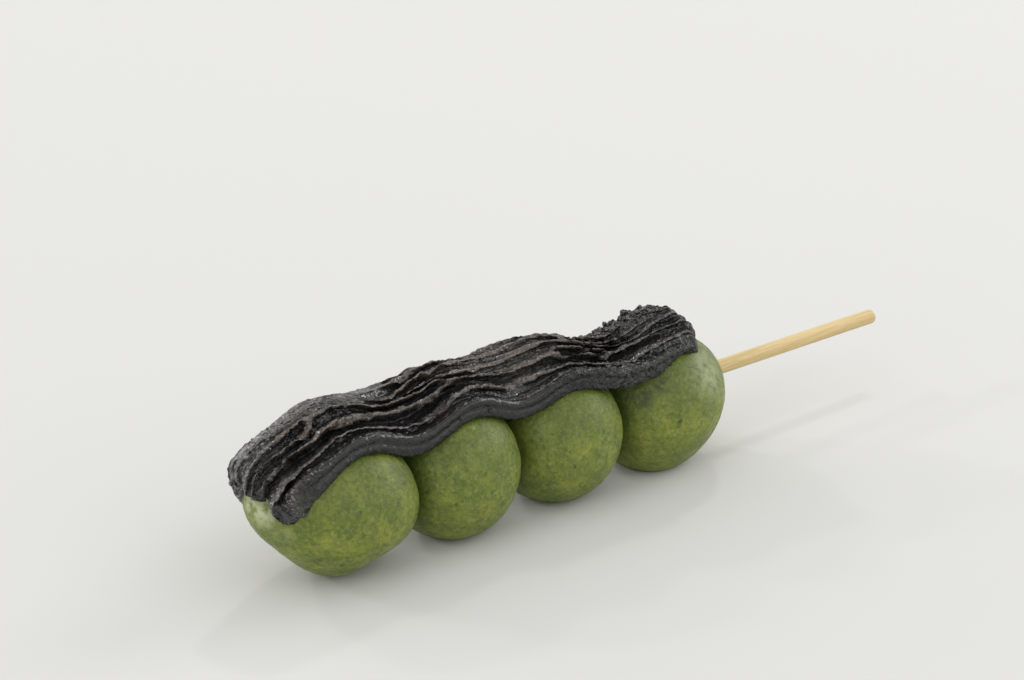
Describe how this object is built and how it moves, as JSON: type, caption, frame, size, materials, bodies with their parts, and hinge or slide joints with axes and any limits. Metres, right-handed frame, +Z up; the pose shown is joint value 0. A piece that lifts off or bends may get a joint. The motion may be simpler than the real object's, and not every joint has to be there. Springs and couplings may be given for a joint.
{
  "type": "dango skewer",
  "caption": "Row of green rice dumplings threaded on a round bamboo stick, under a piped, ridged band of black sesame paste.",
  "frame": {"origin": "middle of the bounding box's base, on the plane the dumplings rest on", "axes": "+X along the stick from the tip dumpling to the free end, +Z up, +Y to the side on which the paste hangs lower"},
  "size_m": [0.162, 0.0284, 0.0311],
  "materials": {
    "bamboo": "plain cut bamboo with a fine lengthwise grain",
    "mugwort_dough": "moist matt steamed rice dough, mottled with chopped mugwort",
    "black_sesame": "thick moist paste of ground black sesame, shiny along its ridges"
  },
  "bodies": {
    "root": {"bamboo_stick": "bamboo", "dango_1": "mugwort_dough", "dango_2": "mugwort_dough", "dango_3": "mugwort_dough", "dango_4": "mugwort_dough", "sesame_paste": "black_sesame"}
  },
  "joints": []
}
